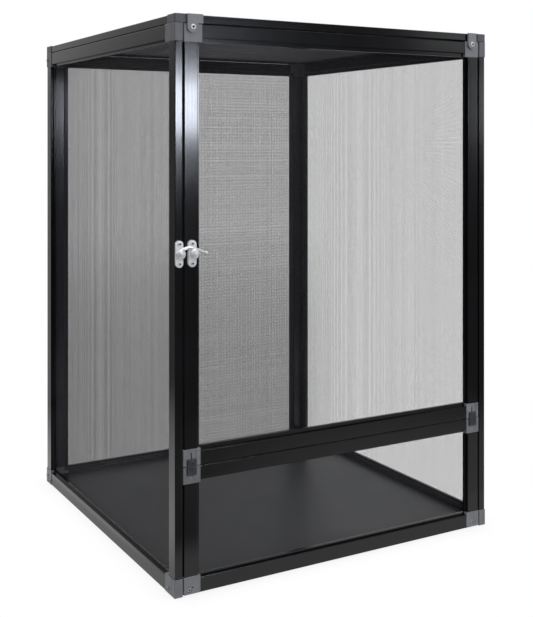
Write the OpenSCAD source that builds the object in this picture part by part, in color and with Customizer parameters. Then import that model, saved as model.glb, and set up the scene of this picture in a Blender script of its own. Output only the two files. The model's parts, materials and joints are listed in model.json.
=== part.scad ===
// Reptile terrarium: six screened panels of slotted aluminium profile with
// moulded corner blocks, a tall swinging front door over a drop-down lower
// door, a removable-looking screened lid and a solid floor.
// Millimetres, +Z up. The origin is at the centre of the overall box, on the ground.

/* [Overall size] */
// Width across the corner blocks of the side panels
width = 496; // [400:1:640]
// Depth from the front face to the back face
depth = 505; // [400:1:640]
// Height from the ground to the top of the lid
height = 715; // [560:5:900]
// Height of the seam between the lower and the upper door
seam_z = 158.5; // [140:0.5:220]

/* [Frame profile] */
// Thickness of every framed panel
panel_t = 11; // [11:0.5:13]
// Width of the flat outer face of the profile
face_w = 19.3; // [19.3:0.1:21]
// Width of the recessed ledge that carries the screen
ledge_w = 3.3; // [3:0.1:4]
// How far the ledge lies behind the outer face
ledge_back = 5; // [4.8:0.1:5.2]
// Wall thickness of the hollow profile
wall = 1.2; // [1:0.1:1.3]
// Width of the outer face of the upper door's rails, which have a wider ledge
door_rail_w = 17.3; // [17:0.1:18]
// How much narrower the lower door's top rail is than the others
flap_cut = 3.5; // [2:0.5:4]
// Edge radius of the profile
edge_r = 0.8; // [0.6:0.1:1]
// How far the corner blocks stand proud of the profile faces
proud = 0.8; // [0.6:0.1:1]

/* [Doors] */
// Gap between the side panels and the doors
side_gap = 1.5; // [1.2:0.1:2]
// Distance from the doors' outer edge to the upper door's hinge axis
hinge_in = 2.5; // [2.4:0.1:2.6]
// Distance from the front face back to the upper door's hinge axis
hinge_back = 3.5; // [3.4:0.1:3.6]
// Height of the lower door's pivot axis above the ground
flap_axis_z = 5; // [4.9:0.1:5.1]
// Distance from the front face back to the lower door's pivot axis
flap_axis_y = 4; // [3.9:0.1:4.1]
// Radial clearance of the hinge pins in the doors
pin_clear = 0.05; // [0.02:0.01:0.1]

/* [Latch] */
// Height of the latch pivot and of the catch above the ground
latch_z = 420.5; // [300:0.5:480]
// Radius of the latch arm
arm_r = 2; // [1.8:0.1:2.1]
// Travel of the slide latches
slide_travel = 11.2; // [11.1:0.1:11.3]

/* [Screen and floor] */
// Thickness of the stand-in sheet for each wire screen
screen_t = 0.8; // [0.6:0.1:0.9]
// Thickness of the floor board
board_t = 3; // [2.5:0.5:4]

/* [Hidden] */
$fn = 32;
T = panel_t;
W = width;
D = depth;
H = height;
PW = face_w + ledge_w;      // full width of the profile, and side of a corner block
U1 = face_w - 4;            // inner side of the main tube, where the spline groove starts
U2 = face_w - 1;            // other side of the spline groove
VI = T - 0.1;               // inner face of the profile
VG = ledge_back + 1;        // bottom of the spline groove
VF = VI - 2.3;              // inner face of the ledge
HW = H - T;                 // height of the wall panels
SB = 29;                    // length of a side panel's front corner block along the depth
protr = 12.5;               // how far the catch knob stands in front of the doors
y0 = -(D + protr) / 2 + protr;  // row Y of the front face
DX = T + side_gap;          // left edge of the doors
DWd = W - 2 * DX;           // width of the doors
flap_z0 = 0.6;              // bottom of the lower door
flap_z1 = seam_z - 0.3;     // top of the lower door
door_z0 = seam_z + 0.4;     // bottom of the upper door
door_z1 = HW - 1;           // top of the upper door
flap_h = flap_z1 - flap_z0;
door_h = door_z1 - door_z0;
TB = 25;                    // width of the upper door's top corner blocks
back_x = T + 0.1;           // left edge of the back panel
back_w = W - 2 * back_x;
floor_y = 13;               // front edge of the floor
floor_x = T + 0.3;
floor_w = W - 2 * floor_x;
floor_d = D - T - 0.2 - floor_y;
floor_z = 0.5;
floor_t = 8;                // thickness of the floor's frame
floor_s = 5.6;              // height of the floor's screws
floor_r = 17;               // rear floor screws, in from the back face
pad_x = [4.2, 6.2];         // left and right slide latch, in from the doors' outer edge
pad_c = [3.9, 4.5];         // outer side of their recesses, clear of the swing on the right
pad_w = 12.2;
pad_z0 = seam_z - 10.6;
pad_h = 19.4;
MB = 20.8;                  // height of the corner blocks on both sides of the seam
hole_r = 1.4;               // screw hole
shank_r = 1.35;             // screw shank
head_r = 2.9;

bar_colour = [0.035, 0.036, 0.04];
block_colour = [0.16, 0.16, 0.17];
screen_colour = [0.2, 0.2, 0.2];
spline_colour = [0.05, 0.05, 0.05];
chrome_colour = [0.8, 0.8, 0.82];

// ---------- basic shapes ----------

// rectangle from p to q with corner radii r = [near p, +x, q, +y]
module rr(p, q, r) {
    c = [p, [q[0], p[1]], q, [p[0], q[1]]];
    s = [[1, 1], [-1, 1], [-1, -1], [1, -1]];
    difference() {
        translate(p) square([q[0] - p[0], q[1] - p[1]]);
        for (i = [0:3]) if (r[i] > 0) difference() {
            translate([c[i][0] + (s[i][0] > 0 ? -1 : -r[i]), c[i][1] + (s[i][1] > 0 ? -1 : -r[i])])
                square(r[i] + 1);
            translate([c[i][0] + s[i][0] * r[i], c[i][1] + s[i][1] * r[i]]) circle(r = r[i]);
        }
    }
}

// section of the slotted profile: u runs in from the panel's edge, v in from its outer face
// fw is the width of the outer face
module section(e, fw = face_w) {
    difference() {
        union() {
            rr([e, proud], [U1, VI], [edge_r, 0, edge_r, edge_r]);
            rr([e + 3, proud], [fw, VG], [0, edge_r, 0, 0]);
            translate([U1, ledge_back]) square([PW - U1, VG - ledge_back]);
            translate([U2, ledge_back]) square([PW - U2, VF - ledge_back]);
        }
        translate([e + wall, proud + wall]) square([U1 - e - 2 * wall, VI - proud - 2 * wall]);
        translate([e + wall, proud + wall]) square([U2 - face_w + fw - e - wall, VG - proud - 2 * wall]);
    }
}

// profile bars of a panel, in the panel's own frame: a across, b up, v in from the outer face
module stile(B, b0, b1, e) {
    translate([0, B - b1, 0]) rotate([90, 0, 0]) linear_extrude(B - b0 - b1) section(e);
}
module stile_far(A, B, b0, b1, e) { translate([A, 0, 0]) mirror([1, 0, 0]) stile(B, b0, b1, e); }
module rail(A, a0, a1, e, fw = face_w) {
    translate([a0, 0, 0]) rotate([90, 0, 90]) linear_extrude(A - a0 - a1) section(e, fw);
}
module rail_far(A, B, a0, a1, e, fw = face_w) { translate([0, B, 0]) mirror([0, 1, 0]) rail(A, a0, a1, e, fw); }

// body of a corner block at the panel's corner (0, 0); x0 below 0 makes an ear past the edge
module block_body(bw, bh, x0 = 0, ra = 0.9, rb = 0.9, t = T) {
    intersection() {
        linear_extrude(t) rr([x0, 0], [bw, bh], [1.5, 0.5, 0.5, 0.5]);
        translate([0, bh, 0]) rotate([90, 0, 0]) linear_extrude(bh) rr([x0, 0], [bw, t], [ra, 0.5, 0.3, 0.5]);
        translate([x0, 0, 0]) rotate([90, 0, 90]) linear_extrude(bw - x0) rr([0, 0], [bh, t], [rb, 0.5, 0.3, 0.5]);
    }
}
// legs that plug into the hollow bars; ea and eb are the edge insets of the stile and the rail,
// cut is how much narrower the rail is
module legs(bw, bh, ea, eb, cut = 0) {
    lu = wall + 0.12;
    translate([ea + lu, bh - 3, proud + lu]) cube([U1 - ea - 2 * lu, 26, VI - proud - 2 * lu]);
    translate([bw - 3, eb + lu, proud + lu]) cube([26, U1 - cut - eb - 2 * lu, VI - proud - 2 * lu]);
}
module corner_block(bw, bh, ea, eb, x0 = 0, ra = 0.9, rb = 0.9, cut = 0) {
    difference() {
        union() {
            block_body(bw, bh, x0, ra, rb);
            legs(bw, bh, ea, eb, cut);
        }
        translate([U1 - 0.1, U1 - cut - 0.1, VG]) cube([bw, bh, T]);
    }
}
module at_corner(A, B, i, j) {
    translate([i * A, j * B, 0]) mirror([i, 0, 0]) mirror([0, j, 0]) children();
}
module screen(A, B) {
    g = U2 + 0.2;
    color(screen_colour) translate([g, g, VF + 0.1]) cube([A - 2 * g, B - 2 * g, screen_t]);
}
module spline(A, B) {
    color(spline_colour) translate([0, 0, VG + 0.1]) linear_extrude(4) difference() {
        translate([U1 + 0.1, U1 + 0.1]) square([A - 2 * U1 - 0.2, B - 2 * U1 - 0.2]);
        translate([U2 - 0.1, U2 - 0.1]) square([A - 2 * U2 + 0.2, B - 2 * U2 + 0.2]);
    }
}

// ---------- placing the panels ----------

module front_at(x, z) { translate([x - W / 2, y0, z]) mirror([0, 1, 0]) rotate([90, 0, 0]) children(); }
module left_at() { translate([-W / 2, y0, 0]) rotate([90, 0, 90]) children(); }
module right_at() { mirror([1, 0, 0]) left_at() children(); }
module back_at() { translate([back_x - W / 2, y0 + D, 0]) rotate([90, 0, 0]) children(); }
module lid_at() { translate([-W / 2, y0, H]) mirror([0, 0, 1]) children(); }
module room() { translate([-W / 2, y0, 0]) children(); }

// ---------- screws ----------

// pan-head screw: its head bears on z = 0, its shank points down
module head_screw(len, r = head_r, h = 1.5, sr = shank_r) {
    difference() {
        union() {
            rotate_extrude() polygon([[0, 0], [r, 0], [r, 0.5 * h], [r * 0.86, 0.85 * h], [r * 0.55, h], [0, h]]);
            translate([0, 0, -len]) cylinder(r = sr, h = len + 0.3);
        }
        translate([-r * 0.55, -0.35, h - 0.7]) cube([r * 1.1, 0.7, 2]);
        translate([-0.35, -r * 0.55, h - 0.7]) cube([0.7, r * 1.1, 2]);
    }
}

// ---------- side panels ----------

fe = 0.8;   // inset of the front and rear edges of the side panels' bars

module side_block(i, j) {
    // i = 1 rear, j = 1 top
    difference() {
        corner_block(i == 0 ? SB : PW, PW, fe, j == 1 ? 0.8 : 0);
        // moulded crease
        translate([9, -1, -0.3]) cube([0.6, PW + 2, 0.7]);
        if (i == 1) translate([5.5, PW / 2, -1]) cylinder(r = hole_r, h = T + 2);
        if (i == 0 && j == 0) {
            translate([flap_axis_y, flap_axis_z, 3]) cylinder(r = 1.5, h = T);
            translate([floor_y + 6.7, floor_s, -1]) cylinder(r = hole_r, h = T + 2);
        }
        if (i == 1 && j == 0) translate([floor_r, floor_s, -1]) cylinder(r = hole_r, h = T + 2);
        if (j == 1) translate([i == 0 ? 12 : 18, 12, T / 2]) rotate([90, 0, 0]) cylinder(r = hole_r, h = 13);
    }
}
module side_blocks() {
    color(block_colour) for (i = [0, 1], j = [0, 1]) at_corner(D, HW, i, j) side_block(i, j);
}
module side_front_stile() {
    color(bar_colour) difference() {
        stile(HW, PW, PW, fe);
        translate([14, seam_z - 22.5, T - 4]) cylinder(r = 1.2, h = 6);
        // screw holes of the latch plate
        if ($side == "left") for (s = [-12.2, 12.2]) translate([-1, latch_z + s, 5.4]) rotate([0, 90, 0]) cylinder(r = 1.2, h = 4);
    }
}
module side_rear_stile() { color(bar_colour) stile_far(D, HW, PW, PW, fe); }
module side_top_rail() { color(bar_colour) rail_far(D, HW, SB, PW, 0.8); }
module side_bottom_rail() { color(bar_colour) rail(D, SB, PW, 0); }

module left_front_stile() { $side = "left"; left_at() side_front_stile(); }
module left_rear_stile() left_at() side_rear_stile();
module left_top_rail() left_at() side_top_rail();
module left_bottom_rail() left_at() side_bottom_rail();
module left_corner_blocks() left_at() side_blocks();
module left_screen() left_at() screen(D, HW);
module left_spline() left_at() spline(D, HW);
module right_front_stile() { $side = "right"; right_at() side_front_stile(); }
module right_rear_stile() right_at() side_rear_stile();
module right_top_rail() right_at() side_top_rail();
module right_bottom_rail() right_at() side_bottom_rail();
module right_corner_blocks() right_at() side_blocks();
module right_screen() right_at() screen(D, HW);
module right_spline() right_at() spline(D, HW);

// ---------- back panel ----------

module back_corner_blocks() back_at() color(block_colour) for (i = [0, 1], j = [0, 1])
    at_corner(back_w, HW, i, j) difference() {
        corner_block(PW, PW, 0.8, j == 1 ? 0.8 : 0);
        translate([-1, PW / 2, 5.5]) rotate([0, 90, 0]) cylinder(r = hole_r, h = 10);
    }
module back_left_stile() back_at() color(bar_colour) stile(HW, PW, PW, 0.8);
module back_right_stile() back_at() color(bar_colour) stile_far(back_w, HW, PW, PW, 0.8);
module back_top_rail() back_at() color(bar_colour) rail_far(back_w, HW, PW, PW, 0.8);
module back_bottom_rail() back_at() color(bar_colour) rail(back_w, PW, PW, 0);
module back_screen() back_at() screen(back_w, HW);
module back_spline() back_at() spline(back_w, HW);

// ---------- lid ----------

module lid_corner_blocks() lid_at() color(block_colour) for (i = [0, 1], j = [0, 1])
    at_corner(W, D, i, j) difference() {
        corner_block(PW, PW, 0.8, 0.8);
        translate([5.5, j == 0 ? 12 : 18, -1]) cylinder(r = hole_r, h = T + 2);
        translate([5.5, j == 0 ? 12 : 18, -1]) cylinder(r = 3.2, h = 2.7);
        // groove in the front face, beside the stop tab
        if (j == 0) translate([14.7, -1, -1]) cube([PW, 1.8, T + 2]);
        if (i == 1 && j == 0) translate([DX + hinge_in, hinge_back, 1]) cylinder(r = 1.2, h = T);
    }
module lid_left_rail() lid_at() color(bar_colour) stile(D, PW, PW, 0.8);
module lid_right_rail() lid_at() color(bar_colour) stile_far(W, D, PW, PW, 0.8);
module lid_front_rail() lid_at() color(bar_colour) rail(W, PW, PW, 0.8);
module lid_rear_rail() lid_at() color(bar_colour) rail_far(W, D, PW, PW, 0.8);
module lid_screen() lid_at() screen(W, D);
module lid_spline() lid_at() spline(W, D);

// ---------- floor ----------

module floor_at() { room() translate([floor_x, floor_y, floor_z]) children(); }
module tube_a(len) {
    difference() {
        cube([len, face_w, floor_t]);
        translate([-1, wall, wall]) cube([len + 2, face_w - 2 * wall, floor_t - 2 * wall]);
    }
}
module floor_rails() floor_at() color(bar_colour) {
    for (j = [0, 1]) translate([0, j * floor_d, 0]) mirror([0, j, 0]) translate([PW, 0, 0]) tube_a(floor_w - 2 * PW);
    for (i = [0, 1]) translate([i * floor_w, 0, 0]) mirror([i, 0, 0]) translate([0, PW, 0])
        mirror([1, -1, 0]) tube_a(floor_d - 2 * PW);
}
module floor_corner_blocks() floor_at() color(block_colour) for (i = [0, 1], j = [0, 1])
    at_corner(floor_w, floor_d, i, j) difference() {
        union() {
            cube([PW, PW, floor_t]);
            translate([wall + 0.15, PW - 1, wall + 0.15]) cube([face_w - 2 * wall - 0.3, 22, floor_t - 2 * wall - 0.3]);
            translate([PW - 1, wall + 0.15, wall + 0.15]) cube([22, face_w - 2 * wall - 0.3, floor_t - 2 * wall - 0.3]);
        }
        translate([-1, j == 0 ? 6.7 : floor_y + floor_d - D + floor_r, floor_s - floor_z]) rotate([0, 90, 0]) cylinder(r = hole_r, h = 12);
    }
module floor_board() floor_at() color([0.09, 0.09, 0.1]) translate([0, 0, floor_t]) cube([floor_w, floor_d, board_t]);

// ---------- brackets, pins and screws of the enclosure ----------

module seam_brackets() color([0.1, 0.1, 0.1]) room() {
    // right: carries the upper door's lower hinge pin
    difference() {
        union() {
            translate([W - T - 9, 1.6, seam_z - 2.3]) cube([9, 19.9, 2.2]);
            translate([W - T - 1.6, 11.6, seam_z - 30]) cube([1.6, 9.9, 29.9]);
        }
        translate([W - DX - hinge_in, hinge_back, seam_z - 4]) cylinder(r = 1.2, h = 5);
        translate([W - T - 3, 14, seam_z - 22.5]) rotate([0, 90, 0]) cylinder(r = 1.2, h = 5);
    }
    // left: stops both doors from swinging inwards
    difference() {
        union() {
            translate([T, 11.6, seam_z - 30]) cube([1.6, 9.9, 43]);
            translate([T, 11.6, seam_z - 16]) cube([13, 1.6, 29]);
        }
        translate([T - 1, 14, seam_z - 22.5]) rotate([0, 90, 0]) cylinder(r = 1.2, h = 5);
    }
}
module hinge_pins() color([0.5, 0.5, 0.52]) room() {
    translate([W - DX - hinge_in, hinge_back, seam_z - 2.3]) cylinder(r = 1.2, h = 12.5);
    translate([W - DX - hinge_in, hinge_back, HW - 11]) cylinder(r = 1.2, h = 20.5);
}
module flap_pivot_pins() color([0.5, 0.5, 0.52]) room() for (i = [0, 1])
    translate([i * W, 0, 0]) mirror([i, 0, 0]) translate([3, flap_axis_y, flap_axis_z]) rotate([0, 90, 0]) cylinder(r = 1.5, h = DX + 1.5);

module panel_screws() color([0.12, 0.12, 0.12]) {
    for (i = [0, 1]) room() translate([i * W, 0, 0]) mirror([i, 0, 0]) {
        // side panels to the back panel
        for (z = [PW / 2, HW - PW / 2]) translate([0, D - 5.5, z]) rotate([0, -90, 0]) head_screw(19);
        // side panels to the floor
        for (y = [floor_y + 6.7, D - floor_r]) translate([0, y, floor_s]) rotate([0, -90, 0]) head_screw(20);
        // lid to the side panels
        for (y = [12, D - 18]) translate([5.5, y, H - 1.7]) head_screw(18.5);
        // brackets to the side panels
        translate([T + 1.6, 14, seam_z - 22.5]) rotate([0, 90, 0]) head_screw(5, r = 2.4, h = 1.2, sr = 1.15);
    }
}

// ---------- latch, on the left side panel ----------

lx = 5.4;      // pivot, from the left face
kx = 22.7;     // catch knob, from the left face
bend_x = 17.27;  // centre of the arm's bend, from the left face
bend_z = -3.91;  // and from the pivot's height
bend_r = 12;
up_a = 19;       // slope of the arm from the pivot to the bend
down_a = 22;     // slope from the bend to the tip
tip_l = 19.1;    // length of the straight end
arm_v = 7;       // height of the arm above the profile's face

module stadium(w, h, t) {
    r = w / 2;
    linear_extrude(t) {
        for (s = [-1, 1]) translate([0, s * (h / 2 - r)]) circle(r = r);
        translate([-r, -(h / 2 - r)]) square([w, h - w]);
    }
}
// the latch's own frame: x right, y up, z out towards the viewer, z = 0 on the profile's face
module latch_at(x) { room() translate([x, proud, latch_z]) rotate([90, 0, 0]) children(); }

module latch_base() latch_at(lx) color(chrome_colour) difference() {
    union() {
        stadium(9.6, 33, 3.6);
        cylinder(r = 4.4, h = 4.2);
    }
    cylinder(r = 1.9, h = 12, center = true);
    for (s = [-1, 1]) translate([0, s * 12.2, -1]) cylinder(r = 1.2, h = 6);
}
module latch_rivet() latch_at(lx) color(chrome_colour) {
    translate([0, 0, 0.2]) cylinder(r = 1.9, h = 10);
    translate([0, 0, 9.9]) intersection() {
        translate([0, 0, -3.4]) sphere(r = 5.2);
        cylinder(r = 6, h = 3);
    }
}
module latch_screws() latch_at(lx) color(chrome_colour)
    for (s = [-1, 1]) translate([0, s * 12.2, 3.6]) head_screw(6.5, r = 2.8, h = 1.1, sr = 1.15);

module latch_arm() color(chrome_colour) latch_at(lx) difference() {
    union() {
        translate([0, 0, 4.5]) cylinder(r = 5.9, h = 3.9);
        translate([0, 0, 8.4]) cylinder(r1 = 5.9, r2 = 4.6, h = 1.2);
        translate([bend_x - lx, bend_z, arm_v]) {
            rotate([0, 0, 90 - down_a]) rotate_extrude(angle = up_a + down_a) translate([bend_r, 0]) circle(r = arm_r);
            // straight start, from the hub
            rotate([0, 0, up_a]) translate([-8.2, bend_r, 0]) rotate([0, 90, 0]) cylinder(r = arm_r, h = 8.2);
            // straight end and the ball at its tip
            rotate([0, 0, -down_a]) translate([0, bend_r, 0]) {
                rotate([0, 90, 0]) cylinder(r1 = arm_r, r2 = arm_r * 0.9, h = tip_l);
                translate([tip_l, 0, 0]) sphere(r = 2.8);
            }
        }
    }
    cylinder(r = 1.9 + pin_clear, h = 30, center = true);
}

// ---------- upper door ----------

module door_at() { front_at(DX, door_z0) children(); }

module scoop(a, b) { translate([a, b, -8.1]) sphere(r = 9, $fn = 64); }
module slide_pocket(i) {
    // recess for the pad, its shallow run above, slot for the stem and room for the foot
    a = pad_c[i];
    a2 = pad_x[i] + pad_w + 0.3;
    translate([0, 0, -1]) linear_extrude(2.5) rr([a, -1], [a2, pad_z0 + pad_h - door_z0 + 0.3], [0, 0, 1.3, 1.3]);
    translate([0, 0, -1]) linear_extrude(1.7) rr([a, -1], [a2, pad_z0 + pad_h + slide_travel - door_z0 + 0.4], [0, 0, 1.3, 1.3]);
    scoop(pad_x[i] + pad_w / 2, pad_z0 + pad_h - door_z0 + 1.2);
    translate([pad_x[i] + pad_w / 2 - 0.9, 1.2, 0]) cube([1.8, 4 + slide_travel, T]);
    translate([pad_x[i] + 1.8, 1, 4.4]) cube([pad_w - 3.6, 4.4 + slide_travel, T]);
}
module door_corner_blocks() door_at() color(block_colour) for (i = [0, 1], j = [0, 1])
    at_corner(DWd, door_h, i, j) difference() {
        corner_block(j == 1 ? TB : PW, j == 1 ? PW : MB, 0.8, j == 1 ? 0.8 : 0.2, (i == 0 && j == 0) ? -0.9 : 0, i == 1 ? 2 : 0.9);
        if (i == 1) translate([hinge_in, 12, hinge_back]) rotate([90, 0, 0]) cylinder(r = 1.2 + pin_clear, h = 20);
        if (j == 0) slide_pocket(i);
        if (j == 1) translate([i == 0 ? tab_l - DX : W - DX - tab_r, door_z1 - tab_z, -1]) cylinder(r = hole_r, h = 8);
    }
module door_latch_stile() door_at() color(bar_colour) difference() {
    stile(door_h, MB, PW, 0.8);
    for (s = [-1, 1]) translate([kx - DX, latch_z - door_z0 + s * 12.2, -1]) cylinder(r = 1.2, h = 5);
}
module door_hinge_stile() door_at() color(bar_colour) stile_far(DWd, door_h, MB, PW, 0.8);
module door_top_rail() door_at() color(bar_colour) rail_far(DWd, door_h, TB, TB, 0.8, door_rail_w);
module door_bottom_rail() door_at() color(bar_colour) rail(DWd, PW, PW, 0.2, door_rail_w);
module door_screen() door_at() screen(DWd, door_h);
module door_spline() door_at() spline(DWd, door_h);

module latch_catch() latch_at(kx) color(chrome_colour) difference() {
    union() {
        stadium(11, 33, 3.6);
        cylinder(r = 4, h = 9.8);
        // mushroom head
        translate([0, 0, 9.6]) cylinder(r1 = 5.4, r2 = 6.2, h = 0.8);
        translate([0, 0, 10.4]) intersection() {
            translate([0, 0, -5.4]) sphere(r = 8.22);
            cylinder(r = 6.2, h = 4);
        }
    }
    for (s = [-1, 1]) translate([0, s * 12.2, -1]) cylinder(r = 1.2, h = 6);
}
module catch_screws() latch_at(kx) color(chrome_colour)
    for (s = [-1, 1]) translate([0, s * 12.2, 3.6]) head_screw(6.5, r = 2.8, h = 1.3, sr = 1.15);

tab_z = HW - 5.2;   // height of the stop tabs' screws
tab_l = 23.5;       // middle of the left tab, from the left face
tab_r = W - 26.7;   // middle of the right tab
module tab(w, x1, x2, c, r) {
    // plate in front of the lid's edge, from x1 to x2, with a round-ended tab of radius r about c
    difference() {
        linear_extrude(w) {
            translate([x1, HW - 0.4]) square([x2 - x1, T + 0.4]);
            translate([c - r, tab_z]) square([2 * r, HW - tab_z]);
            translate([c, tab_z]) circle(r = r);
        }
        translate([c, tab_z, -1]) cylinder(r = hole_r, h = w + 2);
    }
}
module stop_tabs() color(block_colour) {
    translate([-W / 2, y0 - 0.1, 0]) rotate([90, 0, 0]) tab(2.8, 16.3, 37.4, tab_l, 7.2);
    translate([-W / 2, y0 - 0.1, 0]) rotate([90, 0, 0]) tab(2.8, W - 33.8, W - 19.6, tab_r, 7.1);
}
module tab_screws() color(chrome_colour) for (x = [tab_l, tab_r])
    translate([x - W / 2, y0 - 2.9, tab_z]) rotate([90, 0, 0]) head_screw(9.5, r = 3, h = 1.4);

// ---------- lower door ----------

flap_s = [[7.4, 6.2], [11.7, 8.4]];   // screw and moulded hole of the left and the right lower block
flap_o = [[11.8, 9], [7, 6.4]];
module flap_at() { front_at(DX, flap_z0) children(); }
module flap_corner_blocks() flap_at() color(block_colour) for (i = [0, 1], j = [0, 1])
    at_corner(DWd, flap_h, i, j) difference() {
        corner_block(PW, j == 1 ? MB : PW, 0.8, j == 1 ? 0.2 : 0.6, (i == 0 && j == 1) ? -0.9 : 0, 0.9, j == 0 ? 3 : 0.6, j == 1 ? flap_cut : 0);
        if (j == 0) {
            translate([-1, flap_axis_z - flap_z0, flap_axis_y]) rotate([0, 90, 0]) cylinder(r = 1.5 + pin_clear, h = 6.2);
            // recess and hole of the block's screw, and the moulded hole beside it
            translate([flap_s[i][0], flap_s[i][1], -1]) cylinder(r = 3.1, h = 2.6);
            translate([flap_s[i][0], flap_s[i][1], 0]) cylinder(r = hole_r, h = 9);
            translate([flap_o[i][0], flap_o[i][1], -1]) cylinder(r = 1, h = 4);
        }
        // recess for the lower half of the slide latch
        if (j == 1) {
            translate([0, 0, -1]) linear_extrude(2.5) rr([pad_c[i], -1], [pad_x[i] + pad_w + 0.3, flap_z1 - pad_z0 + 0.4], [0, 0, 1.3, 1.3]);
            scoop(pad_x[i] + pad_w / 2, flap_z1 - pad_z0 + 1.3);
        }
        // room for the hinge bracket
        if (i == 1 && j == 1) translate([-1, -1, 1.3]) cube([9.3, 3.4, T]);
    }
module flap_left_stile() flap_at() color(bar_colour) stile(flap_h, PW, MB, 0.8);
module flap_right_stile() flap_at() color(bar_colour) stile_far(DWd, flap_h, PW, MB, 0.8);
module flap_top_rail() flap_at() color(bar_colour) rail_far(DWd, flap_h + flap_cut, PW, PW, 0.2 + flap_cut);
module flap_bottom_rail() flap_at() color(bar_colour) rail(DWd, PW, PW, 0.6);
module flap_screen() flap_at() screen(DWd, flap_h + flap_cut);
module flap_spline() flap_at() spline(DWd, flap_h + flap_cut);
module flap_screws() flap_at() color([0.3, 0.3, 0.3]) for (i = [0, 1]) translate([i * DWd, 0, 0]) mirror([i, 0, 0])
    translate([flap_s[i][0], flap_s[i][1], 1.6]) rotate([180, 0, 0]) head_screw(6, r = 2.8, h = 1.3);

// ---------- slide latches ----------

module slide_latch(px) {
    // in the upper door's frame: pad, stem and foot
    b = pad_z0 - door_z0;
    color([0.06, 0.06, 0.065]) difference() {
        union() {
            translate([0, b, 0]) intersection() {
                translate([0, 0, -1.8]) linear_extrude(2.3) rr([px, 0], [px + pad_w, pad_h], [1.2, 1.2, 1.2, 1.2]);
                translate([px, 0, 0]) rotate([90, 0, 90]) linear_extrude(pad_w) rr([0, -1.8], [pad_h, 0.5], [0.8, 0.8, 0, 0]);
            }
            translate([px + pad_w / 2 - 0.6, 1.5, 0]) cube([1.2, 3.4, 5]);
            translate([px + 2.3, 1.5, 4.7]) cube([min(pad_w - 4.6, U1 - 0.3 - px - 2.3), 3.4, 1.6]);
        }
        // finger grooves
        for (k = [0:4]) translate([px + 2, b + 3.9 + k * 2.7, -2.3]) cube([pad_w - 4, 0.9, 1]);
    }
}
module left_slide_latch() door_at() slide_latch(pad_x[0]);
module right_slide_latch() door_at() translate([DWd, 0, 0]) mirror([1, 0, 0]) slide_latch(pad_x[1]);

// ---------- drawing ----------

left_front_stile();
left_rear_stile();
left_top_rail();
left_bottom_rail();
left_corner_blocks();
left_screen();
left_spline();
right_front_stile();
right_rear_stile();
right_top_rail();
right_bottom_rail();
right_corner_blocks();
right_screen();
right_spline();
back_left_stile();
back_right_stile();
back_top_rail();
back_bottom_rail();
back_corner_blocks();
back_screen();
back_spline();
lid_front_rail();
lid_rear_rail();
lid_left_rail();
lid_right_rail();
lid_corner_blocks();
lid_screen();
lid_spline();
floor_rails();
floor_corner_blocks();
floor_board();
panel_screws();
seam_brackets();
hinge_pins();
flap_pivot_pins();
latch_base();
latch_rivet();
latch_screws();
door_latch_stile();
door_hinge_stile();
door_top_rail();
door_bottom_rail();
door_corner_blocks();
door_screen();
door_spline();
latch_catch();
catch_screws();
stop_tabs();
tab_screws();
flap_left_stile();
flap_right_stile();
flap_top_rail();
flap_bottom_rail();
flap_corner_blocks();
flap_screen();
flap_spline();
flap_screws();
latch_arm();
left_slide_latch();
right_slide_latch();
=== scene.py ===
import json
import math
import random
import bpy
import bmesh
from mathutils import Vector, Matrix


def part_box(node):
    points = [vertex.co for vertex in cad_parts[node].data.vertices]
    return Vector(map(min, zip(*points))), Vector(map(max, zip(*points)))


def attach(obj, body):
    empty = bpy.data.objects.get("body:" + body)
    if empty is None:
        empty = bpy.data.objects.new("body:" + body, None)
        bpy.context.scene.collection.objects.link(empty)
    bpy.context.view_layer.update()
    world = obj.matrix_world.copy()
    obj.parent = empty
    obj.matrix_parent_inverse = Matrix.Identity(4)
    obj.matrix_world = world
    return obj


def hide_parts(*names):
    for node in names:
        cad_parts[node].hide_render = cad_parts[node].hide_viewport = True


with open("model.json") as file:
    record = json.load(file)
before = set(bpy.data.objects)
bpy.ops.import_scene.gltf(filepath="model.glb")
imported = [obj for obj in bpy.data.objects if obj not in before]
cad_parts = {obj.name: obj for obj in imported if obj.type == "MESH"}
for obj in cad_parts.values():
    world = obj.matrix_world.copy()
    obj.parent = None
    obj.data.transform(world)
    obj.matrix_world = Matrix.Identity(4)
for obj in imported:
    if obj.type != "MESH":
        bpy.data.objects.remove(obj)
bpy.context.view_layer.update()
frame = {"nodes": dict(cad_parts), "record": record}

rng = random.Random(7)
MM = 0.001
NODES = frame["nodes"]

# ------------------------------------------------------------------ camera
# The front-left-bottom outer corner of the frame is where the camera fit is tied.
lo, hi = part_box("left_corner_blocks")
X0, YF = lo.x, lo.y                       # left outer face, front face
X1 = -X0
cam_data = bpy.data.cameras.new("camera")
cam = bpy.data.objects.new("camera", cam_data)
bpy.context.scene.collection.objects.link(cam)
bpy.context.scene.camera = cam
cam.location = (X0 - 0.5194, YF - 1.1358, 0.5543)
cam.rotation_euler = (math.radians(90), 0, math.radians(-29.711))
cam_data.sensor_width = 36
cam_data.lens = 59.588
cam_data.shift_y = -0.2658
cam_data.clip_start = 0.05
cam_data.clip_end = 60


# ------------------------------------------------------------------ materials
def new_material(name):
    m = bpy.data.materials.new(name)
    m.use_nodes = True
    t = m.node_tree
    b = next(n for n in t.nodes if n.type == "BSDF_PRINCIPLED")
    return m, t, b


def tex_coords(t, scale=(1, 1, 1), kind="Object"):
    tc = t.nodes.new("ShaderNodeTexCoord")
    mp = t.nodes.new("ShaderNodeMapping")
    mp.inputs["Scale"].default_value = scale
    t.links.new(tc.outputs[kind], mp.inputs["Vector"])
    return mp.outputs["Vector"]


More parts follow.
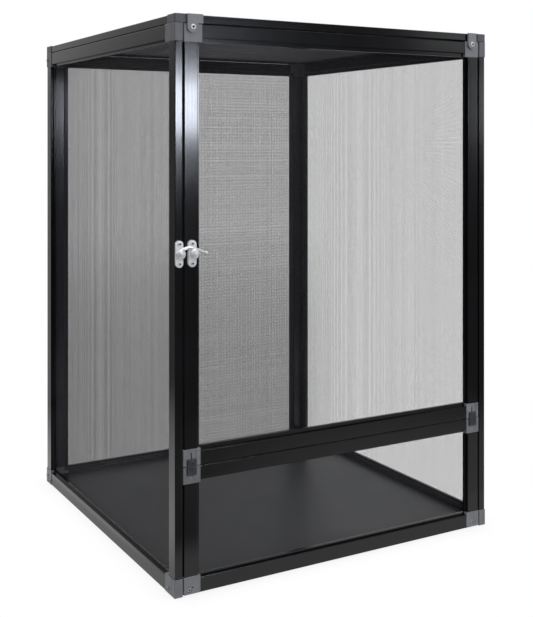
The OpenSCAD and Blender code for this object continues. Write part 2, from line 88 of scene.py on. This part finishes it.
def noise(t, vec, scale, detail=4.0, rough=0.5):
    n = t.nodes.new("ShaderNodeTexNoise")
    n.inputs["Scale"].default_value = scale
    n.inputs["Detail"].default_value = detail
    n.inputs["Roughness"].default_value = rough
    t.links.new(vec, n.inputs["Vector"])
    return n.outputs["Fac"]


def ramp(t, fac, stops):
    r = t.nodes.new("ShaderNodeValToRGB")
    e = r.color_ramp.elements
    while len(e) < len(stops):
        e.new(0.5)
    for el, (p, c) in zip(e, stops):
        el.position = p
        el.color = (*c, 1) if len(c) == 3 else (c[0], c[0], c[0], 1)
    t.links.new(fac, r.inputs["Fac"])
    return r.outputs["Color"]


def span(t, fac, low, high, a=0.3, b=0.7, smooth=False):
    """fac from a..b spread over low..high"""
    m = t.nodes.new("ShaderNodeMapRange")
    if smooth:
        m.interpolation_type = "SMOOTHSTEP"
    m.inputs["From Min"].default_value = a
    m.inputs["From Max"].default_value = b
    m.inputs["To Min"].default_value = low
    m.inputs["To Max"].default_value = high
    t.links.new(fac, m.inputs["Value"])
    return m.outputs["Result"]


def math_node(t, op, a, b=None):
    n = t.nodes.new("ShaderNodeMath")
    n.operation = op
    for i, v in enumerate((a, b)):
        if v is None:
            continue
        if isinstance(v, (int, float)):
            n.inputs[i].default_value = v
        else:
            t.links.new(v, n.inputs[i])
    return n.outputs[0]


def add_bump(t, b, height, strength, distance, before=None):
    n = t.nodes.new("ShaderNodeBump")
    n.inputs["Strength"].default_value = strength
    n.inputs["Distance"].default_value = distance
    t.links.new(height, n.inputs["Height"])
    if before is not None:
        t.links.new(before, n.inputs["Normal"])
    t.links.new(n.outputs["Normal"], b.inputs["Normal"])
    return n.outputs["Normal"]


def frame_material(name, axis):
    """black anodised extrusion: die lines run along the axis, faint haze and dust between them"""
    m, t, b = new_material(name)
    stretch = [700, 700, 700]
    stretch[axis] = 2
    lines = noise(t, tex_coords(t, tuple(stretch)), 1.0, 3, 0.6)
    haze = noise(t, tex_coords(t), 18, 5, 0.6)
    specks = noise(t, tex_coords(t), 700, 2, 0.5)
    col = ramp(t, haze, [(0.3, (0.0030, 0.0031, 0.0036)), (0.7, (0.0050, 0.0052, 0.0060))])
    dust = ramp(t, specks, [(0.74, (0, 0, 0)), (0.82, (0.25, 0.25, 0.25))])
    mix = t.nodes.new("ShaderNodeMix")
    mix.data_type = "RGBA"
    t.links.new(dust, mix.inputs["Factor"])
    t.links.new(col, mix.inputs[6])
    mix.inputs[7].default_value = (0.04, 0.04, 0.042, 1)
    t.links.new(mix.outputs[2], b.inputs["Base Color"])
    t.links.new(math_node(t, "ADD", span(t, lines, 0.105, 0.145), span(t, haze, 0.0, 0.03)), b.inputs["Roughness"])
    add_bump(t, b, lines, 0.05, 0.00002)
    return m


def plastic_material(name, dark, light, rough, grain=0.25, mottle=60):
    """moulded plastic: slight mottling, fine spark-eroded grain"""
    m, t, b = new_material(name)
    big = noise(t, tex_coords(t), mottle, 4, 0.6)
    fine = noise(t, tex_coords(t), 1600, 2, 0.5)
    t.links.new(ramp(t, big, [(0.3, dark), (0.7, light)]), b.inputs["Base Color"])
    t.links.new(span(t, big, rough - 0.05, rough + 0.06), b.inputs["Roughness"])
    add_bump(t, b, fine, grain, 0.00006)
    return m


FRAME = {a: frame_material("frame_" + "xyz"[a], a) for a in range(3)}
# lit and shaded copies of one moulded plastic: the lid blocks are a darker copy with painted shade, the door and flap
# blocks lighter copies with painted light
M_BLOCK = plastic_material("block_plastic", (0.108, 0.110, 0.119), (0.152, 0.155, 0.166), 0.38)
M_BLOCK_LID_PAINTED_SHADE = plastic_material("lid_block_painted_shade", (0.068, 0.070, 0.078), (0.098, 0.101, 0.111), 0.38)
M_BLOCK_DOOR_PAINTED_LIGHT = plastic_material("door_block_painted_light", (0.165, 0.167, 0.178), (0.225, 0.228, 0.241), 0.36)
M_BLOCK_FLAP_PAINTED_LIGHT = plastic_material("flap_block_painted_light", (0.128, 0.130, 0.139), (0.178, 0.181, 0.193), 0.38)
M_TAB = plastic_material("tab_plastic", (0.175, 0.176, 0.184), (0.235, 0.236, 0.246), 0.32)
M_PAD = plastic_material("pad_rubber", (0.014, 0.014, 0.015), (0.060, 0.060, 0.064), 0.5, 0.6, 260)
M_SPLINE = plastic_material("spline_rubber", (0.010, 0.010, 0.010), (0.018, 0.018, 0.018), 0.45, 0.3)


def floor_board_material():
    """smooth dark sheet with a fine ribbing from side to side, half gloss"""
    m, t, b = new_material("floor_sheet")
    b.inputs["Specular IOR Level"].default_value = 0.3
    big = noise(t, tex_coords(t), 9, 5, 0.6)
    fine = noise(t, tex_coords(t), 700, 3, 0.5)
    rib = noise(t, tex_coords(t, (260, 3, 1)), 1.0, 2, 0.5)
    t.links.new(ramp(t, big, [(0.3, (0.0050, 0.0052, 0.0066)), (0.7, (0.0090, 0.0094, 0.0112))]), b.inputs["Base Color"])
    t.links.new(span(t, big, 0.34, 0.42), b.inputs["Roughness"])
    first = t.nodes.new("ShaderNodeBump")
    first.inputs["Strength"].default_value = 0.25
    first.inputs["Distance"].default_value = 0.0002
    t.links.new(rib, first.inputs["Height"])
    add_bump(t, b, fine, 0.35, 0.0001, first.outputs["Normal"])
    return m


def metal_material(name, base, low, high, scale=40, bump=0.05, metallic=1.0, out=None):
    """plated or plain metal with smudges"""
    m, t, b = new_material(name)
    b.inputs["Metallic"].default_value = metallic
    if out is not None:
        # thicker plating on the knob and arm, which stand out in front of the plates
        dep = t.nodes.new("ShaderNodeSeparateXYZ")
        t.links.new(tex_coords(t), dep.inputs[0])
        t.links.new(span(t, dep.outputs["Y"], out, metallic, YF - 5.4 * MM, YF - 3.9 * MM), b.inputs["Metallic"])
    n = noise(t, tex_coords(t), scale, 5, 0.6)
    f = noise(t, tex_coords(t), 900, 3, 0.5)
    t.links.new(ramp(t, n, [(0.3, tuple(c * 0.82 for c in base)), (0.7, base)]), b.inputs["Base Color"])
    t.links.new(span(t, n, low, high), b.inputs["Roughness"])
    add_bump(t, b, f, bump, 0.00005)
    return m


M_FLOOR = floor_board_material()
M_CHROME = metal_material("chrome_plate", (0.97, 0.97, 0.98), 0.12, 0.22, metallic=0.12, out=0.42)
M_STEEL = metal_material("pin_steel", (0.55, 0.55, 0.56), 0.25, 0.4)
M_DARKSCREW = metal_material("dark_screw", (0.30, 0.30, 0.305), 0.3, 0.45, metallic=0.6)
M_BRACKET = plastic_material("bracket_paint", (0.02, 0.02, 0.02), (0.03, 0.03, 0.03), 0.4)


def wire_material():
    m, t, b = new_material("screen_wire")
    n = noise(t, tex_coords(t), 30, 4, 0.6)
    t.links.new(ramp(t, n, [(0.3, (0.020, 0.021, 0.028)), (0.7, (0.032, 0.033, 0.043))]), b.inputs["Base Color"])
    t.links.new(span(t, n, 0.35, 0.5), b.inputs["Roughness"])
    return m


M_WIRE = wire_material()


# ------------------------------------------------------------------ CAD nodes that stay
def dress(node, mat):
    o = NODES[node]
    o.data.materials.clear()
    o.data.materials.append(mat)
    return o


def soften(node, width, segments=2, angle=35):
    """small rounding on the sharp edges of a moulded or pressed piece"""
    m = NODES[node].modifiers.new("edges", "BEVEL")
    m.width = width
    m.segments = segments
    m.limit_method = "ANGLE"
    m.angle_limit = math.radians(angle)
    m.use_clamp_overlap = True
    m.harden_normals = False


def long_axis(node):
    a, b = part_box(node)
    d = b - a
    return max(range(3), key=lambda i: d[i])


for n in NODES:
    if n.endswith("_stile") or n.endswith("_rail"):
        dress(n, FRAME[long_axis(n)])
    elif n == "floor_rails":
        dress(n, FRAME[0])
    elif n.endswith("_corner_blocks"):
        dress(n, {"lid": M_BLOCK_LID_PAINTED_SHADE, "door": M_BLOCK_DOOR_PAINTED_LIGHT, "flap": M_BLOCK_FLAP_PAINTED_LIGHT}.get(n.split("_")[0], M_BLOCK))
    elif n.endswith("_screen"):
        dress(n, M_WIRE)
    elif n.endswith("_spline"):
        dress(n, M_SPLINE)
    elif n == "floor_board":
        dress(n, M_FLOOR)
    elif n in ("panel_screws", "flap_screws"):
        dress(n, M_DARKSCREW)
    elif n == "seam_brackets":
        dress(n, M_BRACKET)
    elif n in ("hinge_pins", "flap_pivot_pins"):
        dress(n, M_STEEL)
    elif n == "stop_tabs":
        dress(n, M_TAB)
    elif n in ("left_slide_latch", "right_slide_latch"):
        dress(n, M_PAD)
    else:
        dress(n, M_CHROME)

# the faces that lie on each other are scuffed matt, so no light runs along the joints
M_SCUFFED = plastic_material("frame_scuffed", (0.004, 0.004, 0.0045), (0.007, 0.007, 0.0075), 0.75, 0.2)
M_SCUFFED.node_tree.nodes["Principled BSDF"].inputs["Specular IOR Level"].default_value = 0.1
for n in ("lid_front_rail", "lid_rear_rail", "lid_left_rail", "lid_right_rail", "left_top_rail", "right_top_rail", "back_top_rail"):
    o = NODES[n]
    o.data.materials.append(M_SCUFFED)
    up = -1 if n.startswith("lid") else 1
    for poly in o.data.polygons:
        if (o.matrix_world.to_3x3() @ poly.normal).z * up > 0.9:
            poly.material_index = 1

for n in NODES:
    if n.endswith("_corner_blocks"):
        soften(n, 0.7 * MM, 3)
    elif n.endswith("_stile") or n.endswith("_rail") or n == "floor_rails":
        soften(n, 0.4 * MM, 3)
for n in ("stop_tabs", "latch_base", "latch_catch", "seam_brackets"):
    soften(n, 0.4 * MM)
for n in ("left_slide_latch", "right_slide_latch"):
    soften(n, 0.2 * MM)


# ------------------------------------------------------------------ helpers for new pieces
def add_object(name, mesh, mat, body, slot, *replaced):
    o = bpy.data.objects.new(name, mesh)
    bpy.context.scene.collection.objects.link(o)
    o.data.materials.append(mat)
    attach(o, body)
    if replaced:
        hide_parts(*replaced)
    return o


def body_of(node):
    for body, nodes in frame["record"]["behaviour"]["bodies"].items():
        if node in nodes:
            return body


def finish_mesh(name, verts, faces, smooth=True):
    me = bpy.data.meshes.new(name)
    me.from_pydata(verts, [], faces)
    bm = bmesh.new()
    bm.from_mesh(me)
    bmesh.ops.recalc_face_normals(bm, faces=bm.faces)
    bm.to_mesh(me)
    bm.free()
    if smooth:
        me.shade_smooth()
    return me


# ------------------------------------------------------------------ woven screens
PITCHES = {"left": 0.93 * MM, "right": 0.89 * MM, "back": 0.80 * MM, "lid": 0.95 * MM, "door": 0.98 * MM, "flap": 0.98 * MM}
# wire thickness over pitch: the back panel has the closest weave, the side panels the most open
FILL = {"left": 0.122, "right": 0.130, "back": 0.33, "lid": 0.20, "door": 0.157, "flap": 0.157}
SIDES = 4
BENDS = 4


def wires(node):
    """the screen's wires, one straight round wire per mesh line, warp on one side of the weft"""
    lo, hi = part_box(node)
    d = hi - lo
    thin = min(range(3), key=lambda i: d[i])
    pa, pb = [i for i in range(3) if i != thin]
    mid = (lo[thin] + hi[thin]) / 2
    pitch = PITCHES[node.split("_")[0]]
    r = FILL[node.split("_")[0]] * pitch / 2
    verts, faces = [], []

    def wire(along, across, at, off):
        base = len(verts)
        n = BENDS
        drift = rng.uniform(-0.055, 0.055) * MM
        wob = [drift + rng.uniform(-0.02, 0.02) * MM for _ in range(n)]
        for k in range(n):
            s = lo[along] + d[along] * k / (n - 1)
            for j in range(SIDES):
                a = 2 * math.pi * j / SIDES
                p = [0.0, 0.0, 0.0]
                p[along] = s
                p[across] = at + wob[k] + r * math.cos(a)
                p[thin] = mid + off + r * math.sin(a)
                verts.append(p)
        for k in range(n - 1):
            for j in range(SIDES):
                q = (j + 1) % SIDES
                faces.append((base + k * SIDES + j, base + k * SIDES + q, base + (k + 1) * SIDES + q, base + (k + 1) * SIDES + j))
        faces.append(tuple(base + j for j in reversed(range(SIDES))))
        faces.append(tuple(base + (n - 1) * SIDES + j for j in range(SIDES)))

    for along, across, off in ((pa, pb, r * 0.9), (pb, pa, -r * 0.9)):
        count = int(d[across] / pitch)
        start = lo[across] + (d[across] - count * pitch) / 2
        for i in range(count + 1):
            wire(along, across, min(max(start + i * pitch, lo[across] + 0.4 * MM), hi[across] - 0.4 * MM), off)
    me = finish_mesh(node + "_wires", verts, faces)
    return add_object(node + "_wires", me, M_WIRE, body_of(node), "screen", node)


for n in [n for n in NODES if n.endswith("_screen")]:
    wires(n)


# ------------------------------------------------------------------ cords that hold the screens
def cord(node):
    """a round cord pressed into the groove, with a slight roll where it was pushed in"""
    lo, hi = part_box(node)
    d = hi - lo
    thin = min(range(3), key=lambda i: d[i])
    pa, pb = [i for i in range(3) if i != thin]
    r = 1.36 * MM
    inset = 1.42 * MM
    # groove bottom is the side of the CAD cord that faces out of the box
    mid = (lo[thin] + hi[thin]) / 2
    a0, a1 = lo[pa] + inset, hi[pa] - inset
    b0, b1 = lo[pb] + inset, hi[pb] - inset
    path = []
    bend, steps = 2.2 * MM, 5
    for cx, cy, s in ((a1 - bend, b0 + bend, -90), (a1 - bend, b1 - bend, 0), (a0 + bend, b1 - bend, 90), (a0 + bend, b0 + bend, 180)):
        corner = []
        for k in range(steps + 1):
            t = math.radians(s + 90 * k / steps)
            corner.append((cx + bend * math.cos(t), cy + bend * math.sin(t)))
        if path:
            x, y = path[-1]
            x2, y2 = corner[0]
            for k in range(1, 24):
                path.append((x + (x2 - x) * k / 24, y + (y2 - y) * k / 24))
        path += corner
    x, y = path[-1]
    x2, y2 = path[0]
    for k in range(1, 24):
        path.append((x + (x2 - x) * k / 24, y + (y2 - y) * k / 24))
    verts, faces = [], []
    m, sides = len(path), 10
    for i, (x, y) in enumerate(path):
        px, py = path[i - 1]
        qx, qy = path[(i + 1) % m]
        tx, ty = qx - px, qy - py
        l = math.hypot(tx, ty)
        nx, ny = ty / l, -tx / l
        sink = rng.uniform(-0.08, 0.08) * MM
        for j in range(sides):
            a = 2 * math.pi * j / sides
            p = [0.0, 0.0, 0.0]
            p[pa] = x + nx * r * math.cos(a)
            p[pb] = y + ny * r * math.cos(a)
            p[thin] = mid + sink + r * math.sin(a)
            verts.append(p)
    for i in range(m):
        k = (i + 1) % m
        for j in range(sides):
            q = (j + 1) % sides
            faces.append((i * sides + j, i * sides + q, k * sides + q, k * sides + j))
    me = finish_mesh(node + "_cord", verts, faces)
    return add_object(node + "_cord", me, M_SPLINE, body_of(node), "spline", node)


for n in [n for n in NODES if n.endswith("_spline")]:
    cord(n)


# ------------------------------------------------------------------ screws
def islands(node):
    """the world-space corner points of each screw in a node"""
    o = NODES[node]
    pts = [o.matrix_world @ v.co for v in o.data.vertices]
    root = list(range(len(pts)))

    def find(i):
        while root[i] != i:
            root[i] = root[root[i]]
            i = root[i]
        return i

    for e in o.data.edges:
        a, b = find(e.vertices[0]), find(e.vertices[1])
        root[a] = b
    # points that share a place belong together even where the mesh is split
    seen = {}
    for i, p in enumerate(pts):
        k = tuple(round(c * 1e6) for c in p)
        if k in seen:
            root[find(i)] = find(seen[k])
        seen[k] = i
    groups = {}
    for i, p in enumerate(pts):
        groups.setdefault(find(i), []).append(p)
    return list(groups.values())


def screws(node, mat, slot, grow=1.0):
    """pan heads with a rounded rim and a cross recess, on the shanks of the CAD screws"""
    verts, faces, shaded = [], [], []
    sides = 40
    for pts in islands(node):
        low = [min(p[i] for p in pts) for i in range(3)]
        high = [max(p[i] for p in pts) for i in range(3)]
        ext = [high[i] - low[i] for i in range(3)]
        # the shank runs along the axis whose other two extents are the same
        ax = min(range(3), key=lambda i: abs(ext[(i + 1) % 3] - ext[(i + 2) % 3]))
        u, v = (ax + 1) % 3, (ax + 2) % 3
        cu, cv = (low[u] + high[u]) / 2, (low[v] + high[v]) / 2
        big = min(ext[u], ext[v]) / 2
        head = big * grow
        rad = [math.hypot(p[u] - cu, p[v] - cv) for p in pts]
        wide = [p[ax] for p, q in zip(pts, rad) if q > 0.9 * big]
        sign = 1 if sum(wide) / len(wide) > (low[ax] + high[ax]) / 2 else -1
        inner, outer = (low[ax], high[ax]) if sign > 0 else (high[ax], low[ax])
        shank = max(q for p, q in zip(pts, rad) if abs(p[ax] - inner) < 1e-5)
        seat = min(wide) if sign > 0 else max(wide)
        h = abs(outer - seat)
        spin = rng.uniform(0, math.pi / 2)
        rows = [(0.0, inner, 0), (shank * 0.8, inner, 0), (shank, inner + sign * 0.2 * MM, 0), (shank, seat, 0), (head * 0.97, seat, 0),
                (head, seat + sign * 0.12 * h, 0), (head * 0.99, seat + sign * 0.40 * h, 0), (head * 0.93, seat + sign * 0.66 * h, 0),
                (head * 0.82, seat + sign * 0.86 * h, 0), (head * 0.66, seat + sign * 0.97 * h, 0), (head * 0.50, outer, 1),
                (head * 0.44, outer - sign * 0.10 * h, 1), (head * 0.34, outer - sign * 0.85 * h, 1), (0.0, outer - sign * 1.0 * h, 0)]
        rings = []
        for r, at, cross in rows:
            ring = []
            for k in range(1 if r == 0 else sides):
                a = 2 * math.pi * k / sides
                rr = r * (1 + (0.24 * math.cos(4 * (a - spin)) if cross else 0))
                p = [0.0, 0.0, 0.0]
                p[ax], p[u], p[v] = at, cu + rr * math.cos(a), cv + rr * math.sin(a)
                ring.append(len(verts))
                verts.append(p)
            rings.append(ring)
        for row, (a, b) in enumerate(zip(rings, rings[1:])):
            for k in range(sides):
                q = (k + 1) % sides
                shaded.append(row >= 11)
                if len(a) == 1:
                    faces.append((a[0], b[k], b[q]))
                elif len(b) == 1:
                    faces.append((a[k], a[q], b[0]))
                else:
                    faces.append((a[k], a[q], b[q], b[k]))
    me = finish_mesh(node + "_heads", verts, faces)
    o = add_object(node + "_heads", me, mat, body_of(node), slot, node)
    # the cross-recess faces carry the painted-shade material
    o.data.materials.append(M_RECESS_PAINTED_SHADE)
    for poly, dark in zip(o.data.polygons, shaded):
        poly.material_index = 1 if dark else 0
    return o


M_BRIGHTSCREW = metal_material("bright_screw", (0.94, 0.94, 0.95), 0.16, 0.28, metallic=0.25)
# painted shade: near-black colour for the cross-recess faces of the screw heads, where shade falls
M_RECESS_PAINTED_SHADE = plastic_material("recess_shade", (0.010, 0.010, 0.010), (0.020, 0.020, 0.021), 0.6, 0.3, 300)
screws("panel_screws", M_DARKSCREW, "dark_screw")
screws("flap_screws", metal_material("grey_screw", (0.42, 0.42, 0.43), 0.2, 0.34, metallic=0.4), "dark_screw")
for n in ("latch_screws", "catch_screws"):
    screws(n, M_BRIGHTSCREW, "chrome")
screws("tab_screws", M_BRIGHTSCREW, "chrome", 1.18)

# ------------------------------------------------------------------ stage: floor, backdrop light
sc = bpy.context.scene
sc.view_settings.view_transform = "Standard"
sc.view_settings.look = "None"
sc.view_settings.exposure = 0
sc.view_settings.gamma = 1

me = bpy.data.meshes.new("ground")
s = 14
me.from_pydata([(-s, -s, 0), (s, -s, 0), (s, s, 0), (-s, s, 0)], [], [(0, 1, 2, 3)])
ground = bpy.data.objects.new("ground", me)
sc.collection.objects.link(ground)
m, t, b = new_material("ground")
t.nodes.remove(b)
gout = next(n for n in t.nodes if n.type == "OUTPUT_MATERIAL")
sep = t.nodes.new("ShaderNodeSeparateXYZ")
t.links.new(tex_coords(t), sep.inputs[0])
gx, gy = sep.outputs["X"], sep.outputs["Y"]
# painted pools of light: the table glows brighter near the object, on its left and to the front right, seen only in
# reflections and bounce light
dx = math_node(t, "SUBTRACT", math_node(t, "ABSOLUTE", gx), 0.25)
dy = math_node(t, "SUBTRACT", math_node(t, "ABSOLUTE", gy), 0.255)
away = math_node(t, "MAXIMUM", dx, dy)
near = span(t, away, 0.58, 0.0, 0.08, 0.18, True)
fx = math_node(t, "SUBTRACT", gx, 0.36)
fy = math_node(t, "SUBTRACT", gy, -0.46)
fd = math_node(t, "SQRT", math_node(t, "ADD", math_node(t, "MULTIPLY", fx, fx), math_node(t, "MULTIPLY", fy, fy)))
front = span(t, fd, 0.42, 0.0, 0.15, 0.62, True)
left = math_node(t, "MULTIPLY", span(t, away, 0.95, 0.0, 0.06, 0.55, True), span(t, gx, 1.0, 0.0, -0.27, -0.24, True))
left = math_node(t, "MULTIPLY", left, span(t, gy, 0.15, 1.0, -0.35, 0.0, True))
# painted light: the table far behind on the left glows paler where the rear stile mirrors it than where the front one
# does
lx = math_node(t, "SUBTRACT", X0 + 0.5194, gx)
ly = math_node(t, "SUBTRACT", gy, YF - 1.1358)
behind = math_node(t, "MULTIPLY", span(t, gy, 0.0, 1.0, 0.3, 0.9, True), span(t, math_node(t, "ARCTAN2", lx, ly), 0.40, 0.05, 0.320, 0.405, True))
painted_light_pools = math_node(t, "ADD", math_node(t, "MAXIMUM", near, math_node(t, "MAXIMUM", front, left)), math_node(t, "ADD", behind, 0.09))
dim = t.nodes.new("ShaderNodeEmission")
t.links.new(painted_light_pools, dim.inputs["Strength"])
dim.inputs["Color"].default_value = (1, 1, 1, 1)
white = t.nodes.new("ShaderNodeEmission")
white.inputs["Color"].default_value = (1, 1, 1, 1)
# painted contact shadow: ambient occlusion darkens the camera-seen white floor close to the object
ao = t.nodes.new("ShaderNodeAmbientOcclusion")
ao.samples = 8
ao.inputs["Distance"].default_value = 0.07
# painted soft shadow on the camera-seen floor: a darker wedge behind the object where it would throw shade away from
# the front light, seen through the back screen
sx = math_node(t, "SUBTRACT", gx, -0.767)
sy = math_node(t, "SUBTRACT", gy, -1.382)
turn = math_node(t, "ARCTAN2", sx, sy)
far = math_node(t, "SQRT", math_node(t, "ADD", math_node(t, "MULTIPLY", sx, sx), math_node(t, "MULTIPLY", sy, sy)))
shade = math_node(t, "MULTIPLY", span(t, turn, 0.0, 1.0, 0.309, 0.326, True), span(t, turn, 1.0, 0.0, 0.530, 0.600, True))
shade = math_node(t, "MULTIPLY", shade, span(t, far, 0.32, 0.0, 1.9, 7.0, True))
shade = math_node(t, "MULTIPLY", shade, span(t, gy, 0.0, 1.0, 0.262, 0.30))
t.links.new(math_node(t, "SUBTRACT", span(t, ao.outputs["AO"], 0.87, 1.0, 0.3, 0.85), shade), white.inputs["Strength"])
lp = t.nodes.new("ShaderNodeLightPath")
mix = t.nodes.new("ShaderNodeMixShader")
t.links.new(lp.outputs["Is Camera Ray"], mix.inputs[0])
t.links.new(dim.outputs[0], mix.inputs[1])
t.links.new(white.outputs[0], mix.inputs[2])
t.links.new(mix.outputs[0], gout.inputs["Surface"])
me.materials.append(m)

world = bpy.data.worlds.new("world")
sc.world = world
world.use_nodes = True
wt = world.node_tree
bg = next(n for n in wt.nodes if n.type == "BACKGROUND")
bg.inputs["Color"].default_value = (1, 1, 1, 1)
bg.inputs["Strength"].default_value = 1.0
# the room that lights the object: dark in front, paler behind and overhead
out = next(n for n in wt.nodes if n.type == "OUTPUT_WORLD")
room = wt.nodes.new("ShaderNodeBackground")
room.inputs["Color"].default_value = (1, 1, 1, 1)
wsep = wt.nodes.new("ShaderNodeSeparateXYZ")
wt.links.new(tex_coords(wt, kind="Generated"), wsep.inputs[0])
wx, wy, wz = wsep.outputs["X"], wsep.outputs["Y"], wsep.outputs["Z"]
behind = math_node(wt, "MULTIPLY", span(wt, wx, 0.0, 0.62, -0.46, -0.20, True), span(wt, wy, 0.0, 1.0, 0.0, 0.5, True))
rise = math_node(wt, "MULTIPLY", span(wt, wz, 0.0, 0.37, 0.02, 0.20, True), span(wt, wy, 0.0, 1.0, -0.2, 0.5, True))
over = span(wt, wz, 0.0, 0.55, 0.25, 0.9, True)
wtot = math_node(wt, "ADD", math_node(wt, "ADD", behind, rise), math_node(wt, "ADD", over, 0.09))
wt.links.new(wtot, room.inputs["Strength"])
lp = wt.nodes.new("ShaderNodeLightPath")
mixw = wt.nodes.new("ShaderNodeMixShader")
wt.links.new(lp.outputs["Is Camera Ray"], mixw.inputs[0])
wt.links.new(room.outputs[0], mixw.inputs[1])
wt.links.new(bg.outputs[0], mixw.inputs[2])
wt.links.new(mixw.outputs[0], out.inputs["Surface"])


def area(name, loc, target, sx, sy, radiance, colour=(1, 1, 1), glossy=True):
    d = bpy.data.lights.new(name, "AREA")
    d.shape = "RECTANGLE"
    d.size, d.size_y = sx, sy
    d.energy = radiance * math.pi * sx * sy
    d.color = colour
    o = bpy.data.objects.new(name, d)
    sc.collection.objects.link(o)
    o.location = loc
    o.rotation_euler = (Vector(target) - Vector(loc)).to_track_quat("-Z", "Y").to_euler()
    o.visible_glossy = glossy
    return o


def polar(x, y, azimuth, dist, z):
    """azimuth measured to the right from straight ahead of the doors"""
    a = math.radians(azimuth)
    return (x + dist * math.sin(a), y - dist * math.cos(a), z)


# overhead softbox, two diffuse fills, the softbox that streaks down the left stiles and a weaker one on the right
area("top", (0.0, 0.0, 2.7), (0, 0, 0.2), 1.8, 1.8, 4.0, (0.97, 0.985, 1.03))
area("fill_left", (-1.9, -2.6, 1.5), (0, 0, 0.35), 1.4, 1.4, 4.6, (0.98, 0.99, 1.02), glossy=False)
area("fill_right", (2.2, -2.2, 1.4), (0, 0, 0.35), 1.4, 1.4, 4.7, (0.98, 0.99, 1.02), glossy=False)
area("streak", polar(-0.23, YF, 24.5, 4.0, 0.762), (-0.23, YF, 0.6), 0.44, 0.25, 41, (0.93, 0.98, 1.12))
area("right_box", polar(0.23, YF, 47.2, 4.0, 0.77), (0.23, YF, 0.6), 0.60, 0.36, 7.0, (0.98, 0.99, 1.02))
area("right_soft", polar(0.23, YF, 42.5, 4.0, 1.21), (0.23, YF, 0.6), 0.75, 0.36, 1.1, (0.98, 0.99, 1.02))
